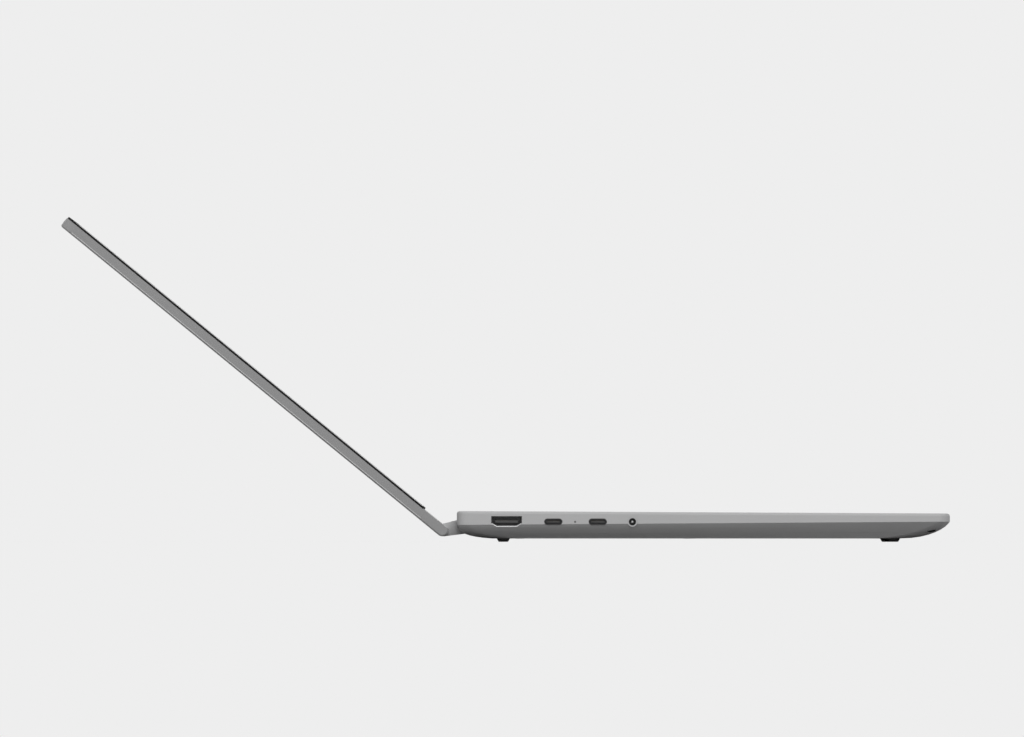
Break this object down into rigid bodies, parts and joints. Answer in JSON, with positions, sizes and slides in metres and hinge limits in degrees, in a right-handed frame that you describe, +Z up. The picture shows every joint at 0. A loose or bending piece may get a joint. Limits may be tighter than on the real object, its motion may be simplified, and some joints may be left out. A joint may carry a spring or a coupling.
{
  "type": "laptop computer",
  "caption": "Fold-around laptop computer with a slim base, keyboard, touchpad, side ports and a lid on a two-axis hinge.",
  "frame": {"origin": "on the table, under the middle of the open computer's box", "axes": "+X to the user's right, +Y to the rear, +Z up"},
  "size_m": [0.3561, 0.4368, 0.1596],
  "materials": {
    "housing": "bead blasted and anodised grey",
    "hinge_metal": "satin grey",
    "steel": "brushed",
    "socket_metal": "dark plated",
    "black_plastic": "matt black",
    "keycap": "fine matt grey",
    "touchpad_glass": "frosted grey",
    "screen_glass": "black gloss glass",
    "rubber": "matt",
    "gasket": "matt black",
    "panel": "laminated panel",
    "circuit_board": "solder mask",
    "copper": "bare copper",
    "battery_pack": "black film",
    "light": "clear"
  },
  "bodies": {
    "base": {"audio_jack": "black_plastic", "battery": "battery_pack", "bottom_cover": "housing", "charge_light": "light", "fan_housing": "black_plastic", "hdmi_socket": "socket_metal", "heat_pipe": "copper", "heat_sink": "copper", "keyboard_plate": "steel", "left_base_hinge_bracket": "steel", "left_front_foot": "rubber", "left_speaker": "black_plastic", "motherboard": "circuit_board", "processor": "steel", "rear_foot": "rubber", "right_base_hinge_bracket": "steel", "right_front_foot": "rubber", "right_port_board": "circuit_board", "right_speaker": "black_plastic", "solid_state_drive": "circuit_board", "top_case": "housing", "touchpad_bracket": "steel", "usb_a_socket_front": "socket_metal", "usb_a_socket_rear": "socket_metal", "usb_c_socket_front": "socket_metal", "usb_c_socket_rear": "socket_metal", "wireless_card": "circuit_board"},
    "hinge_arms": {"left_base_shaft": "steel", "left_hinge_arm": "hinge_metal", "left_lid_shaft": "steel", "right_base_shaft": "steel", "right_hinge_arm": "hinge_metal", "right_lid_shaft": "steel"},
    "lid": {"camera_module": "black_plastic", "display_panel": "panel", "left_lid_hinge_bracket": "steel", "lid_back_cover": "housing", "lid_hinge_cover": "housing", "right_lid_hinge_bracket": "steel", "screen_gasket": "gasket", "screen_glass": "screen_glass"},
    "fan": {"fan_impeller": "black_plastic"},
    "touchpad_plate": {"touchpad": "touchpad_glass"},
    "power_key": {"power_button": "housing"},
    "shutter": {"camera_shutter": "black_plastic"},
    "function_keys_body": {"function_keys": "keycap"},
    "number_keys_body": {"number_keys": "keycap"},
    "upper_letter_keys_body": {"upper_letter_keys": "keycap"},
    "home_letter_keys_body": {"home_letter_keys": "keycap"},
    "lower_letter_keys_body": {"lower_letter_keys": "keycap"},
    "bottom_row_keys_body": {"bottom_row_keys": "keycap"},
    "space_bar_body": {"space_bar": "keycap"},
    "enter_key_body": {"enter_key": "keycap"}
  },
  "joints": [
    {"name": "base_hinge", "type": "hinge", "parent": "base", "child": "hinge_arms", "pos_m": [0, 0.0191, 0.0078], "axis": [-1, 0, 0], "range_deg": [-100.74, 79.54]},
    {"name": "lid_hinge", "type": "hinge", "parent": "hinge_arms", "child": "lid", "pos_m": [0, 0.03016, 0.00576], "axis": [-1, 0, 0], "range_deg": [-40.27, 139.73]},
    {"name": "fan_spin", "type": "hinge", "parent": "base", "child": "fan", "pos_m": [0.06, -0.028, 0.006], "axis": [0, 0, 1], "continuous": true},
    {"name": "touchpad_click", "type": "hinge", "parent": "base", "child": "touchpad_plate", "pos_m": [0, -0.12999, 0.01174], "axis": [1, 0, 0], "range_deg": [0, 0.25], "stiffness_Nm_per_rad": 30, "springref_deg": -0.23},
    {"name": "power_press", "type": "slide", "parent": "base", "child": "power_key", "axis": [-1, 0, 0], "range_m": [0, 0.0004], "stiffness_N_per_m": 1500, "springref_m": -0.0004},
    {"name": "shutter_slide", "type": "slide", "parent": "lid", "child": "shutter", "axis": [1, 0, 0], "range_m": [0, 0.004]},
    {"name": "function_keys_press", "type": "slide", "parent": "base", "child": "function_keys_body", "axis": [0, 0.005, -1], "range_m": [0, 0.0013], "stiffness_N_per_m": 400, "springref_m": -0.0015},
    {"name": "number_keys_press", "type": "slide", "parent": "base", "child": "number_keys_body", "axis": [0, 0.005, -1], "range_m": [0, 0.0013], "stiffness_N_per_m": 400, "springref_m": -0.0015},
    {"name": "upper_letter_keys_press", "type": "slide", "parent": "base", "child": "upper_letter_keys_body", "axis": [0, 0.005, -1], "range_m": [0, 0.0013], "stiffness_N_per_m": 400, "springref_m": -0.0015},
    {"name": "home_letter_keys_press", "type": "slide", "parent": "base", "child": "home_letter_keys_body", "axis": [0, 0.005, -1], "range_m": [0, 0.0013], "stiffness_N_per_m": 400, "springref_m": -0.0015},
    {"name": "lower_letter_keys_press", "type": "slide", "parent": "base", "child": "lower_letter_keys_body", "axis": [0, 0.005, -1], "range_m": [0, 0.0013], "stiffness_N_per_m": 400, "springref_m": -0.0015},
    {"name": "bottom_row_keys_press", "type": "slide", "parent": "base", "child": "bottom_row_keys_body", "axis": [0, 0.005, -1], "range_m": [0, 0.0013], "stiffness_N_per_m": 400, "springref_m": -0.0015},
    {"name": "space_bar_press", "type": "slide", "parent": "base", "child": "space_bar_body", "axis": [0, 0.005, -1], "range_m": [0, 0.0013], "stiffness_N_per_m": 400, "springref_m": -0.0015},
    {"name": "enter_key_press", "type": "slide", "parent": "base", "child": "enter_key_body", "axis": [0, 0.005, -1], "range_m": [0, 0.0013], "stiffness_N_per_m": 400, "springref_m": -0.0015}
  ]
}
